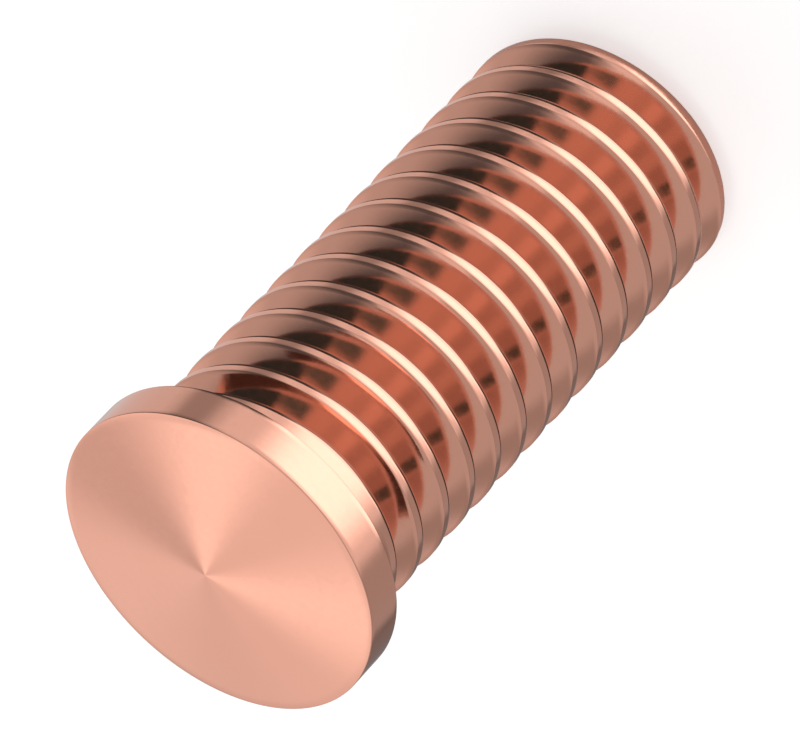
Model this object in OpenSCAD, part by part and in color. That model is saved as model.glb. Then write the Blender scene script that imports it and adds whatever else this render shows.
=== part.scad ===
// Flanged weld stud in one piece, standing on its threaded end with the weld face on top.
// Sizes are in millimetres, +Z is up and the origin is the middle of the threaded end.

/* [Thread] */
// Outside diameter of the thread
thread_d = 5; // [4:0.5:10]
// Distance from one turn of the thread to the next
thread_pitch = 0.8; // [0.7:0.05:1]
// Angle about the axis at which the groove's middle meets the threaded end
thread_phase = -126; // [-180:1:180]

/* [Shank] */
// Length from the threaded end up to the underside of the flange
shank_l = 11.45; // [8:0.05:30]
// Height of the steep chamfer at the threaded end
chamfer_h = 0.32; // [0.2:0.01:0.4]
// Gap left between the full groove and the flange
thread_gap = 0.2; // [0.05:0.05:1]

/* [Flange] */
// How far the flange stands out past the thread all round
flange_reach = 0.5; // [0.4:0.05:2]
// Thickness of the flange at its rim
flange_h = 0.75; // [0.6:0.05:1.6]
// Slope of the conical weld face
face_angle = 7; // [4:0.5:10]
// Size of the small bevel on both edges of the rim
rim_bevel = 0.04; // [0.02:0.01:0.1]

/* [Hidden] */
thread_r = thread_d / 2;
flange_r = thread_r + flange_reach;
face_h = flange_r * tan(face_angle);

// Metric profile: 60 degree flanks, crest flat of a quarter and groove flat of an eighth of the pitch
flank_angle = 30;
crest_w = thread_pitch / 4;
groove_w = thread_pitch - crest_w;
root_w = thread_pitch / 8;
groove_h = (groove_w - root_w) / 2 / tan(flank_angle);
root_r = thread_r - groove_h;

// Chamfer at the end goes in a little under the thread's root
end_r = root_r - 0.12;

// The groove runs in below the threaded end and runs out over part of a turn under the flange
turn_steps = 24;
over = crest_w / 2;
runout_turn = 1 / 3;
groove_low = -thread_pitch;
groove_high = shank_l - groove_w / 2 - thread_gap;
full_steps = floor((groove_high - groove_low) / thread_pitch * turn_steps);
runout_steps = round(runout_turn * turn_steps);
all_steps = full_steps + runout_steps;

function lift(i) = max(0, i - full_steps) / runout_steps * (groove_h + 0.05);
function angle(i) = thread_phase - 360 + 360 * i / turn_steps;
function height(i) = groove_low + thread_pitch * i / turn_steps;

// Groove section, radius against height: narrow at the root and wider past the crest
over_w = groove_w + 2 * over * tan(flank_angle);
groove_section = [
    [root_r, -root_w / 2],
    [thread_r + over, -over_w / 2],
    [thread_r + over, over_w / 2],
    [root_r, root_w / 2]
];

$fn = 96;

module turned_body() {
    rotate_extrude()
        polygon([
            [0, 0],
            [end_r, 0],
            [thread_r, chamfer_h],
            [thread_r, shank_l],
            [flange_r - rim_bevel, shank_l],
            [flange_r, shank_l + rim_bevel],
            [flange_r, shank_l + flange_h - rim_bevel],
            [flange_r - rim_bevel, shank_l + flange_h],
            [0, shank_l + flange_h + face_h]
        ]);
}

module thread_groove() {
    corners = len(groove_section);
    rows = [for (i = [0 : all_steps]) [for (c = groove_section)
        let (r = c[0] + lift(i))
        [r * cos(angle(i)), r * sin(angle(i)), height(i) + c[1]]]];
    points = [for (row = rows) each row];
    walls = [for (i = [0 : all_steps - 1]) each [for (j = [0 : corners - 1])
        let (k = (j + 1) % corners, a = i * corners, b = a + corners)
        each [[a + j, b + k, b + j], [a + j, a + k, b + k]]]];
    first = [for (j = [corners - 1 : -1 : 0]) j];
    last = [for (j = [0 : corners - 1]) all_steps * corners + j];
    polyhedron(points, concat(walls, [first, last]), convexity = 20);
}

module weld_stud() {
    color([0.85, 0.52, 0.4])
        difference() {
            turned_body();
            thread_groove();
        }
}

weld_stud();
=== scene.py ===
import bpy
import numpy as np
from mathutils import Matrix, Vector


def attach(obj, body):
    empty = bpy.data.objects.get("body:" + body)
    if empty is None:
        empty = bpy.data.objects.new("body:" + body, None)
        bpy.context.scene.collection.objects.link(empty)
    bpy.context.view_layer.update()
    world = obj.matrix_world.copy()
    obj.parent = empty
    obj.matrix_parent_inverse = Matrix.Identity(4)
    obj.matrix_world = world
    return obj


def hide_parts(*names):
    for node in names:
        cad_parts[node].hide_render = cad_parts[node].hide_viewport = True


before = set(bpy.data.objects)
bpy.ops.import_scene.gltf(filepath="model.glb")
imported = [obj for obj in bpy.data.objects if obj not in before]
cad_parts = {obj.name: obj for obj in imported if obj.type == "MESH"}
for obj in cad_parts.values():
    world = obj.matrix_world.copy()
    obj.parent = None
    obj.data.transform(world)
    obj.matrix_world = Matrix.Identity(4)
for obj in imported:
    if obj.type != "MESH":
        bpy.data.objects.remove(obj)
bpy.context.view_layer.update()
scene = bpy.context.scene
scene.view_settings.view_transform = "Standard"
print("frame loaded:", sorted(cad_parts))

# camera, metres and degrees, image taken as 800 x 755
camera = {
    "lens": 390.6,
    "sensor": 36,
    "clip": (0.005, 10),
    "place": (-0.0001193, -0.1144884, 0.0956252),
    "aim": (-0.0001193, 0.0, 0.0068422),
    "roll": -136.948,
}


def placeCamera(values):
    # the level right and up of the line of sight are turned about that line by the roll
    place, aim = Vector(values["place"]), Vector(values["aim"])
    away = (aim - place).normalized()
    level = away.cross(Vector((0, 0, 1))).normalized()
    upright = level.cross(away)
    roll = np.radians(values["roll"])
    right = level * np.cos(roll) + upright * np.sin(roll)
    up = right.cross(away)
    data = bpy.data.cameras.new("camera")
    data.lens = values["lens"]
    data.sensor_width = values["sensor"]
    data.clip_start, data.clip_end = values["clip"]
    lookout = bpy.data.objects.new("camera", data)
    lookout.matrix_world = Matrix.Translation(place) @ Matrix((right, up, -away)).transposed().to_4x4()
    scene.collection.objects.link(lookout)
    scene.camera = lookout


placeCamera(camera)
print("camera placed")


def meshFromArrays(name, points, triangles):
    # whole arrays go in at once; points that no triangle uses are left out first
    used, inverse = np.unique(triangles.ravel(), return_inverse=True)
    corners = inverse.astype(np.int32)
    mesh = bpy.data.meshes.new(name)
    mesh.vertices.add(len(used))
    mesh.vertices.foreach_set("co", points[used].astype(np.float32).ravel())
    mesh.loops.add(len(corners))
    mesh.loops.foreach_set("vertex_index", corners)
    mesh.polygons.add(len(triangles))
    mesh.polygons.foreach_set("loop_start", np.arange(0, len(corners), 3, dtype=np.int32))
    mesh.polygons.foreach_set("use_smooth", np.ones(len(triangles), bool))
    mesh.update(calc_edges=True)
    mesh.validate()
    return mesh


def trianglesOf(grid):
    # each cell of a grid of point numbers is cut in two; cells that shrink to a line are dropped
    a, b, c, d = grid[:-1, :-1], grid[1:, :-1], grid[1:, 1:], grid[:-1, 1:]
    both = np.concatenate([np.stack([a, b, c], -1).reshape(-1, 3), np.stack([a, c, d], -1).reshape(-1, 3)])
    real = (both[:, 0] != both[:, 1]) & (both[:, 1] != both[:, 2]) & (both[:, 2] != both[:, 0])
    return both[real]


# stud, millimetres and degrees; low is the side of the threaded end, high is the side of the flange
stud = {
    "threadRadius": 2.5,
    "pitch": 0.8,
    "startAngle": -126,
    "crestLand": 0.2,
    "rootLand": 0.1,
    "rootRound": 0.03,
    "crestRoundLow": 0.15,
    "crestRoundHigh": 0.006,
    "crestReach": 0.014,  # the crest and its low flank reach this much further down
    "rootLean": 0.012,  # the high flank starts this much nearer the groove's middle
    "flankHollow": 0.010,  # depth of the hollow in the high flank
    "shankLength": 11.45,
    "endRadius": 1.949,
    "chamferHeight": 0.32,
    "chamferRound": 0.03,
    "lastGroove": 10.95,
    "runoutTurns": 0.333,
    "flangeRadius": 3.0,
    "flangeHeight": 0.75,
    "rimRound": 0.012,
    "faceAngle": 7,
    "sharpAngle": 38,
    "columns": 144,
    "endRings": (0.35, 0.7),
    "faceGather": 1.6,  # power by which the rows of the weld face crowd towards its tip
    "roundRows": {"root": 5, "crestLow": 9, "crestHigh": 4, "rim": 6},
    "plainRows": {"flankLow": 3, "flankHigh": 6, "under": 3, "rim": 7, "face": 28},
}


def threadProfile(values):
    # one pitch, groove bottom to groove bottom: flat bottom, flank, flat crest and back down the other flank
    # each corner is an arc of 60 degrees that takes radius * tan(30) off the flat and off the flank
    # a hollow flank sinks by hollow * 4 * share * (1 - share) square to its line
    pitch, high, root = values["pitch"], values["threadRadius"], values["rootRound"]
    rootHalf, crestHalf = values["rootLand"] / 2, (pitch - values["crestLand"]) / 2
    low = high - (crestHalf - rootHalf) * np.sqrt(3)
    cut = np.tan(np.radians(30))
    flatRow = 0.6  # place of the one row on each half of the flat bottom
    roundRows, plainRows = values["roundRows"], values["plainRows"]

    def halfPitch(rootEdge, crestEdge, crest, crestRows, hollow, flankRows):
        rootTurn = np.radians(np.linspace(0, 60, roundRows["root"]))
        crestTurn = np.radians(np.linspace(60, 0, crestRows))
        rootZ, rootR = rootEdge + root * (np.sin(rootTurn) - cut), low + root * (1 - np.cos(rootTurn))
        crestZ, crestR = crestEdge - crest * (np.sin(crestTurn) - cut), high - crest * (1 - np.cos(crestTurn))
        share = np.linspace(0, 1, flankRows + 2)[1:-1]
        sink = hollow * 4 * share * (1 - share)
        flankZ = rootZ[-1] + (crestZ[0] - rootZ[-1]) * share + sink * np.sqrt(3) / 2
        flankR = rootR[-1] + (crestR[0] - rootR[-1]) * share - sink / 2
        crestRow = (crestZ[-1] + pitch / 2) / 2
        halfZ = np.concatenate([[0, rootZ[0] * flatRow], rootZ, flankZ, crestZ, [crestRow]])
        return halfZ, np.concatenate([[low, low], rootR, flankR, crestR, [high]])

    reach = values["crestReach"]
    upZ, upR = halfPitch(rootHalf - reach, crestHalf - reach, values["crestRoundLow"],
                         roundRows["crestLow"], 0, plainRows["flankLow"])
    downZ, downR = halfPitch(rootHalf - values["rootLean"], crestHalf, values["crestRoundHigh"],
                             roundRows["crestHigh"], values["flankHollow"], plainRows["flankHigh"])
    profileZ = np.concatenate([upZ, [pitch / 2], pitch - downZ[::-1]])
    return profileZ, np.concatenate([upR, [high], downR[::-1]])


def softLeast(a, b, width):
    # the smaller of two radii, with the corner between them rounded over the width
    share = np.clip(0.5 + 0.5 * (b - a) / width, 0, 1)
    return b + (a - b) * share - width * share * (1 - share)


def arcRows(centreR, centreZ, radius, start, stop, count):
    # points on an arc, radius against height
    turn = np.radians(np.linspace(start, stop, count))
    return np.stack([centreR + radius * np.cos(turn), centreZ + radius * np.sin(turn)], 1)


def flangePath(values):
    # underside, lower round, rim, upper round and cone, radius against height, and the height of the cone's tip
    high, length = values["threadRadius"], values["shankLength"]
    flange, bevel = values["flangeRadius"], values["rimRound"]
    roundRows, plainRows = values["roundRows"], values["plainRows"]
    top = length + values["flangeHeight"]
    tip = top + (flange - bevel) * np.tan(np.radians(values["faceAngle"]))
    underR = np.linspace(high, flange - bevel, plainRows["under"] + 2)[1:-1]
    under = np.stack([underR, np.full(plainRows["under"], length)], 1)
    lowRound = arcRows(flange - bevel, length + bevel, bevel, -90, 0, roundRows["rim"])
    rimZ = np.linspace(length + bevel, top - bevel, plainRows["rim"] + 2)[1:-1]
    rim = np.stack([np.full(plainRows["rim"], flange), rimZ], 1)
    highRound = arcRows(flange - bevel, top - bevel, bevel, 0, 90 - values["faceAngle"], roundRows["rim"])
    share = np.linspace(1, 0, plainRows["face"] + 2)[1:-1] ** values["faceGather"]
    face = np.stack([highRound[-1, 0] * share, tip + (highRound[-1, 1] - tip) * share], 1)
    return np.concatenate([under, lowRound, rim, highRound, face]), tip


def studMesh(values):
    # rows run from the middle of the threaded end to the tip of the weld face, columns run once round
    # thread: radius = profile(height - pitch * turn), cut by the end chamfer,
    # and fading to the full radius under the flange
    columns, pitch = values["columns"], values["pitch"]
    high, length, end = values["threadRadius"], values["shankLength"], values["endRadius"]
    turn = np.arange(columns) / columns
    angle = np.radians(values["startAngle"]) + 2 * np.pi * turn
    profileZ, profileR = threadProfile(values)
    perTurn = len(profileZ) - 1
    turns = np.arange(-1, int(np.ceil(length / pitch)) + 1)
    rise = (turns[:, None] * pitch + profileZ[None, :-1]).ravel()
    groove = (turns[:, None] * pitch + np.where(profileZ[:-1] < pitch / 2, 0, pitch)[None, :]).ravel()
    radius = np.tile(profileR[:-1], len(turns))
    z = rise[None, :] + pitch * turn[:, None]
    grooveZ = groove[None, :] + pitch * turn[:, None]
    out = np.clip((grooveZ - values["lastGroove"]) / (pitch * values["runoutTurns"]), 0, 1)
    r = high - (high - radius[None, :]) * (1 - out * out * (3 - 2 * out))
    chamfer = end + (high - end) * z / values["chamferHeight"]
    nearEnd = chamfer < high + 0.1  # further up the chamfer is clear of the thread
    r = np.where(nearEnd, softLeast(r, chamfer, values["chamferRound"]), r)
    # numbers of the grid's points; those past either end, or within a hair of it, fall on that end's ring
    hair = 0.002
    rows = len(rise)
    number = np.arange(columns * rows).reshape(columns, rows)
    endRing = columns * rows + np.arange(columns)
    neckRing = endRing + columns
    number = np.where(z <= hair, endRing[:, None], number)
    number = np.where(z >= length - hair, neckRing[:, None], number)
    # one turn on, each row has become the row one pitch higher
    seam = np.concatenate([number[0, perTurn:], np.full(perTurn, neckRing[0])])
    threadGrid = np.concatenate([number, seam[None, :]])
    threadGrid = np.concatenate([np.append(endRing, endRing[0])[:, None], threadGrid,
                                 np.append(neckRing, neckRing[0])[:, None]], 1)
    # flange, turned about the axis
    path, tip = flangePath(values)
    ring = np.stack([np.cos(angle), np.sin(angle)], 1)
    flangePoints = np.concatenate([path[None, :, :1] * ring[:, None, :],
                                   np.broadcast_to(path[None, :, 1:], (columns, len(path), 1))], 2)
    first = neckRing[-1] + 1
    flangeGrid = first + np.arange(columns * len(path)).reshape(columns, len(path))
    tipPoint = first + columns * len(path)
    flangeGrid = np.concatenate([neckRing[:, None], flangeGrid, np.full((columns, 1), tipPoint)], 1)
    flangeGrid = np.concatenate([flangeGrid, flangeGrid[:1]])
    # flat of the threaded end, with two rings between its middle and its edge
    endPath = end * np.array(values["endRings"])
    endPoints = np.concatenate([endPath[None, :, None] * ring[:, None, :], np.zeros((columns, 2, 1))], 2)
    endFirst = tipPoint + 1
    endGrid = endFirst + np.arange(columns * 2).reshape(columns, 2)
    middle = endFirst + columns * 2
    endGrid = np.concatenate([np.full((columns, 1), middle), endGrid, endRing[:, None]], 1)
    endGrid = np.concatenate([endGrid, endGrid[:1]])
    threadPoints = np.stack([r * np.cos(angle)[:, None], r * np.sin(angle)[:, None], z], 2)
    endCircle = np.concatenate([ring * end, np.zeros((columns, 1))], 1)
    neckCircle = np.concatenate([ring * high, np.full((columns, 1), length)], 1)
    points = np.concatenate([threadPoints.reshape(-1, 3), endCircle, neckCircle, flangePoints.reshape(-1, 3),
                             [[0, 0, tip]], endPoints.reshape(-1, 3), [[0, 0, 0]]]) * 0.001
    triangles = np.concatenate([trianglesOf(endGrid), trianglesOf(threadGrid), trianglesOf(flangeGrid)])
    mesh = meshFromArrays("studBody", points, triangles)
    mesh.set_sharp_from_angle(angle=np.radians(values["sharpAngle"]))
    return mesh


# copper plating, colours in linear light, scales in marks per metre, depth in metres
copper = {
    "lightTone": (0.935, 0.468, 0.345),
    "darkTone": (0.905, 0.440, 0.322),
    "cloudScale": 700,
    "cloudDetail": 3,
    "grainScale": 9000,
    "grainDetail": 4,
    "grainRange": (0.3, 0.7),
    "roughness": (0.08, 0.14),
    "bump": 0.04,
    "bumpDepth": 0.00001,
}


def copperPlate(values):
    # faint clouds in the tone, and a fine grain that varies the polish and the surface
    material = bpy.data.materials.new("copperPlate")
    material.use_nodes = True
    nodes, links = material.node_tree.nodes, material.node_tree.links
    shader = nodes["Principled BSDF"]
    shader.inputs["Metallic"].default_value = 1.0
    place = nodes.new("ShaderNodeTexCoord")

    def noise(scale, detail):
        node = nodes.new("ShaderNodeTexNoise")
        node.inputs["Scale"].default_value = scale
        node.inputs["Detail"].default_value = detail
        links.new(place.outputs["Object"], node.inputs["Vector"])
        return node.outputs["Fac"]

    tone = nodes.new("ShaderNodeMix")
    tone.data_type = "RGBA"
    tone.inputs["A"].default_value = (*values["darkTone"], 1)
    tone.inputs["B"].default_value = (*values["lightTone"], 1)
    links.new(noise(values["cloudScale"], values["cloudDetail"]), tone.inputs["Factor"])
    links.new(tone.outputs["Result"], shader.inputs["Base Color"])
    grain = noise(values["grainScale"], values["grainDetail"])
    polish = nodes.new("ShaderNodeMapRange")
    for name, number in zip(("From Min", "From Max", "To Min", "To Max"), values["grainRange"] + values["roughness"]):
        polish.inputs[name].default_value = number
    links.new(grain, polish.inputs["Value"])
    links.new(polish.outputs["Result"], shader.inputs["Roughness"])
    relief = nodes.new("ShaderNodeBump")
    relief.inputs["Strength"].default_value = values["bump"]
    relief.inputs["Distance"].default_value = values["bumpDepth"]
    links.new(grain, relief.inputs["Height"])
    links.new(relief.outputs["Normal"], shader.inputs["Normal"])
    return material


studBody = bpy.data.objects.new("studBody", studMesh(stud))
studBody.data.materials.append(copperPlate(copper))
scene.collection.objects.link(studBody)
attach(studBody, "root")
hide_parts("weld_stud")
print("stud made:", len(studBody.data.polygons), "triangles")

# floor that turns up into a wall all round, metres
floor = {
    "middle": 0.0031,
    "rings": (0.02, 0.1, 0.21),
    "flat": 0.35,
    "sweep": 0.25,
    "wall": 0.7,
    "colour": (0.94, 0.94, 0.94),
    "whiteLift": 0.58,
    "columns": 96,
    "bendRows": 13,
}


def turnedSheet(name, r, z, columns):
    # rings of the given radii and heights about the upright axis; a first radius of zero closes to a point
    angle = np.linspace(0, 2 * np.pi, columns, endpoint=False)
    points = np.stack([r[None, :] * np.cos(angle)[:, None], r[None, :] * np.sin(angle)[:, None],
                       np.broadcast_to(z[None, :], (columns, len(r)))], 2).reshape(-1, 3)
    grid = np.arange(len(points)).reshape(columns, len(r))
    if r[0] == 0:
        grid[:, 0] = grid[0, 0]
    grid = np.concatenate([grid, grid[:1]])[::-1]
    return meshFromArrays(name, points, trianglesOf(grid))


def floorSweep(values):
    # flat ring from the middle outwards, then a quarter circle, then an upright wall
    bend = np.radians(np.linspace(-90, 0, values["bendRows"]))
    flatRings = [values["middle"], *values["rings"]]
    r = np.concatenate([flatRings, values["flat"] + values["sweep"] * np.cos(bend),
                        [values["flat"] + values["sweep"]]])
    z = np.concatenate([np.zeros(len(flatRings)), values["sweep"] * (1 + np.sin(bend)), [values["wall"]]])
    return turnedSheet("floorSweep", r, z, values["columns"])


def palePaper(values):
    # matt paper that is lifted to white for camera rays only, so it keeps the stud's shadow
    material = bpy.data.materials.new("palePaper")
    material.use_nodes = True
    nodes, links = material.node_tree.nodes, material.node_tree.links
    shader = nodes["Principled BSDF"]
    shader.inputs["Base Color"].default_value = (*values["colour"], 1)
    shader.inputs["Roughness"].default_value = 1.0
    shader.inputs["Specular IOR Level"].default_value = 0.0
    shader.inputs["Emission Color"].default_value = (1, 1, 1, 1)
    rays = nodes.new("ShaderNodeLightPath")
    lift = nodes.new("ShaderNodeMath")
    lift.operation = "MULTIPLY"
    lift.inputs[1].default_value = values["whiteLift"]
    links.new(rays.outputs["Is Camera Ray"], lift.inputs[0])
    links.new(lift.outputs[0], shader.inputs["Emission Strength"])
    return material


floorBody = bpy.data.objects.new("floorSweep", floorSweep(floor))
middleSheet = turnedSheet("floorMiddle", np.array([0, floor["middle"]]), np.zeros(2), floor["columns"])
floorMiddle = bpy.data.objects.new("floorMiddle", middleSheet)
paper = palePaper(floor)
for sheet in (floorBody, floorMiddle):
    sheet.data.materials.append(paper)
    scene.collection.objects.link(sheet)
# beyond the middle the copper shows the studio's boxes below the floor instead of the floor
floorBody.visible_glossy = False
floorBody.visible_shadow = False
floorBody.visible_diffuse = False
print("floor made")

# studio: soft boxes and dark flags by direction, degrees
# turn is measured from the camera's side, positive towards -X, or from the far side; lift is above the level
white = (1, 1, 1)
studio = {
    "level": 0.52,
    "dark": (0.018, 0.05, 0.065),  # nothing is darker; cool at the sides and grey underneath
    "darkBelow": (0.03, 0.0, -0.015),  # what the dark gains below
    "belowLift": (-46, -40),
    "rounds": [
        # name, turn and lift of the middle, radius, soft edge, light
        ("lowFront", 12, -68, 37, 5, 1.2),
        ("lowMiddle", 9, -72, 24, 6, 0.3),
    ],
    "boxes": [
        # name, from, turn low, high, soft edge low, high, lift low, high, soft edge, light and its tint;
        # a turn of 400 either way leaves the box open on that side
        ("lowApron", "front", -62, 70, 9, 6, -46, -26, 4, 0.3, white),
        ("underside", "front", -400, 400, 1, 1, -100, -46, 4, -0.37, white),
        ("lowLeftDark", "front", -400, -34, 1, 9, -86, -42.5, 2.5, -1.3, white),
        ("lowRightDark", "front", 54, 400, 9, 1, -86, -50, 6, -1.3, white),
        ("topLeft", "front", -70, -3, 10, 10, 66, 100, 5, 0.28, white),
        ("panelLow", "front", -122, -53, 14, 3, -30, 8, 5, -0.52, (0.95, 0.86, 0.83)),
        ("panelInner", "front", -53, -27, 3, 5, -28, -8, 4, -0.4, (1.08, 0.86, 0.82)),
        ("panelMid", "front", -111, -62, 18, 9, 8, 72, 6, -0.43, (1, 0.97, 0.95)),
        ("leftBack", "front", -160, -138, 7, 8, 8, 60, 10, 0.2, white),
        ("lowLeftBack", "front", -165, -98, 10, 8, -46, -22, 5, 0.15, white),
        ("lowLeftDim", "front", -92, -70, 5, 6, -46, -28, 5, -0.18, white),
        ("rightBack", "front", 129, 143, 5, 6, 0, 44, 8, -0.17, white),
        ("rightFar", "front", 143, 170, 6, 6, 0, 44, 8, -0.08, white),
        ("lowRight", "front", 74, 128, 6, 6, -46, -26, 5, -0.13, white),
        ("lowRightBack", "front", 126, 170, 6, 6, -46, -20, 5, -0.32, white),
        ("stripeSoft", "front", -26, 6, 4, 3, -28, -4, 5, 0.07, white),
        ("stripeLeft", "front", -7, 4, 3, 3, -28, -4, 5, -0.07, white),
        ("stripeBright", "front", 6, 17, 3, 3, -28, -4, 5, 0.16, white),
        ("stripeDim", "front", 20, 31, 3, 3, -28, -4, 5, -0.1, white),
        ("stripeRed", "front", 43, 60, 4, 2, -28, -4, 5, -0.18, white),
        ("stripeDark", "front", 60, 71, 2, 2, -28, -4, 5, -0.42, (1.1, 1, 1)),
        ("rightDim", "front", 73, 110, 2, 8, -28, 0, 6, -0.2, white),
        ("faceBox", "back", -30, 30, 8, 8, 14, 64, 8, 0.36, white),
        ("faceBrightRight", "back", 3.5, 12, 3, 3, 43.5, 58, 3, 0.34, white),
        ("faceBrightLeft", "back", -18, -7.5, 3, 3, 37, 48, 5, 0.34, white),
        ("faceDark", "back", 7, 18, 3, 3, 27, 40, 4, -0.22, white),
        ("faceDim", "back", -16, -2, 3, 4, 10, 26, 5, -0.13, white),
    ],
}


def studioLight(values):
    # light by direction = level plus each box's light times its soft window in turn and in lift,
    # plus each round box's light times its soft window in the angle from its middle
    world = bpy.data.worlds.new("studio")
    world.use_nodes = True
    scene.world = world
    nodes, links = world.node_tree.nodes, world.node_tree.links

    def maths(operation, first, second=None):
        node = nodes.new("ShaderNodeMath")
        node.operation = operation
        for socket, value in zip(node.inputs, (first, second)):
            if isinstance(value, (int, float)):
                socket.default_value = value
            elif value is not None:
                links.new(value, socket)
        return node.outputs[0]

    def ramp(value, low, high, start=0.0, stop=1.0):
        node = nodes.new("ShaderNodeMapRange")
        node.interpolation_type = "SMOOTHSTEP"
        links.new(value, node.inputs["Value"])
        for name, number in zip(("From Min", "From Max", "To Min", "To Max"), (low, high, start, stop)):
            node.inputs[name].default_value = number
        return node.outputs["Result"]

    def vector(operation, first, second=None, scale=None):
        node = nodes.new("ShaderNodeVectorMath")
        node.operation = operation
        for socket, value in ((node.inputs[0], first), (node.inputs[1], second), (node.inputs[3], scale)):
            if isinstance(value, tuple):
                socket.default_value = value
            elif value is not None:
                links.new(value, socket)
        return node

    def added(name, light, window, total):
        part = vector("SCALE", light, scale=window)
        part.label = name
        return vector("ADD", part.outputs[0], total).outputs[0]

    place = nodes.new("ShaderNodeTexCoord").outputs["Generated"]
    parts = nodes.new("ShaderNodeSeparateXYZ")
    links.new(place, parts.inputs[0])
    x, y, z = parts.outputs
    backward = maths("DEGREES", maths("ARCTAN2", x, y))
    forward = maths("DEGREES", maths("ARCTAN2", maths("MULTIPLY", x, -1), maths("MULTIPLY", y, -1)))
    lift = maths("DEGREES", maths("ARCSINE", z))
    total = (values["level"],) * 3
    for name, side, low, high, softLow, softHigh, down, up, softLift, light, tint in values["boxes"]:
        turn = forward if side == "front" else backward
        window = maths("MULTIPLY", ramp(turn, low - softLow, low + softLow),
                       ramp(turn, high - softHigh, high + softHigh, 1.0, 0.0))
        window = maths("MULTIPLY", window, ramp(lift, down - softLift, down + softLift))
        window = maths("MULTIPLY", window, ramp(lift, up - softLift, up + softLift, 1.0, 0.0))
        total = added(name, tuple(light * share for share in tint), window, total)
    for name, turn, rise, radius, soft, light in values["rounds"]:
        turn, rise = np.radians(turn), np.radians(rise)
        middle = (-np.sin(turn) * np.cos(rise), -np.cos(turn) * np.cos(rise), np.sin(rise))
        apart = vector("DOT_PRODUCT", place, middle).outputs["Value"]
        angle = maths("DEGREES", maths("ARCCOSINE", apart))
        window = ramp(angle, radius - soft, radius + soft, 1.0, 0.0)
        total = added(name, (light,) * 3, window, total)
    below = ramp(lift, *values["belowLift"], 1.0, 0.0)
    dark = added("dark", values["darkBelow"], below, values["dark"])
    total = vector("MAXIMUM", total, dark).outputs[0]
    links.new(total, nodes["Background"].inputs["Color"])
    nodes["Background"].inputs["Strength"].default_value = 1.0


studioLight(studio)
print("studio lit:", len(studio["boxes"]) + len(studio["rounds"]), "boxes")
